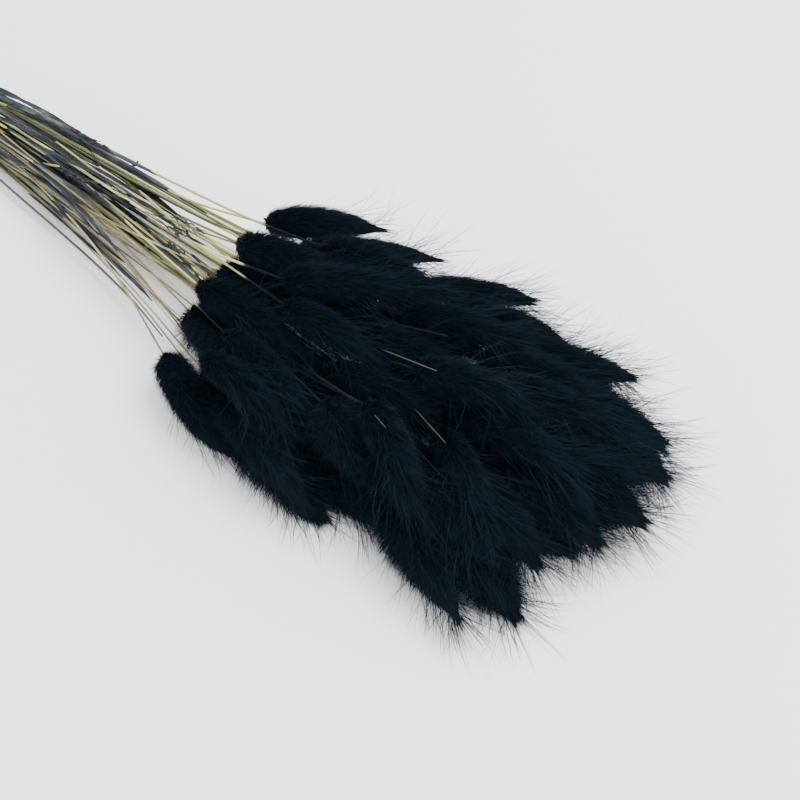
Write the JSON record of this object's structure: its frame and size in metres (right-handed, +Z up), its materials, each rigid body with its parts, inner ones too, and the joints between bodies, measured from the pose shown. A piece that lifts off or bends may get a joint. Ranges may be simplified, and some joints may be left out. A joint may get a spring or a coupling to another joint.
{
  "type": "bunch of dried bunny tail grass",
  "caption": "Bunch of dried bunny tail grass with soft black heads on thin straw stems, tied near the cut ends and lying down.",
  "frame": {"origin": "middle of the bunch's box, on the surface that it lies on", "axes": "+X along the bunch from the cut ends to the heads, +Z up from the surface"},
  "size_m": [0.5146, 0.1502, 0.0535],
  "materials": {
    "fur": "matte",
    "straw": "satin",
    "leaf": "matte",
    "twine": "matte"
  },
  "bodies": {
    "root": {"head_01": "fur", "head_02": "fur", "head_03": "fur", "head_04": "fur", "head_05": "fur", "head_06": "fur", "head_07": "fur", "head_08": "fur", "head_09": "fur", "head_10": "fur", "head_11": "fur", "head_12": "fur", "head_13": "fur", "head_14": "fur", "head_15": "fur", "head_16": "fur", "head_17": "fur", "head_18": "fur", "head_19": "fur", "head_20": "fur", "head_21": "fur", "head_22": "fur", "head_23": "fur", "head_24": "fur", "head_25": "fur", "head_26": "fur", "head_27": "fur", "head_28": "fur", "head_29": "fur", "head_30": "fur", "head_31": "fur", "head_32": "fur", "head_33": "fur", "head_34": "fur", "head_35": "fur", "head_36": "fur", "head_37": "fur", "head_38": "fur", "head_39": "fur", "head_40": "fur", "head_41": "fur", "head_42": "fur", "head_43": "fur", "head_44": "fur", "head_45": "fur", "head_46": "fur", "head_47": "fur", "stems_1": "straw", "stems_2": "straw", "stems_3": "straw", "stems_4": "straw", "stems_5": "straw", "stems_6": "straw", "stems_7": "straw", "leaf_1": "leaf", "leaf_2": "leaf", "leaf_3": "leaf", "leaf_4": "leaf", "tie": "twine"}
  },
  "joints": []
}
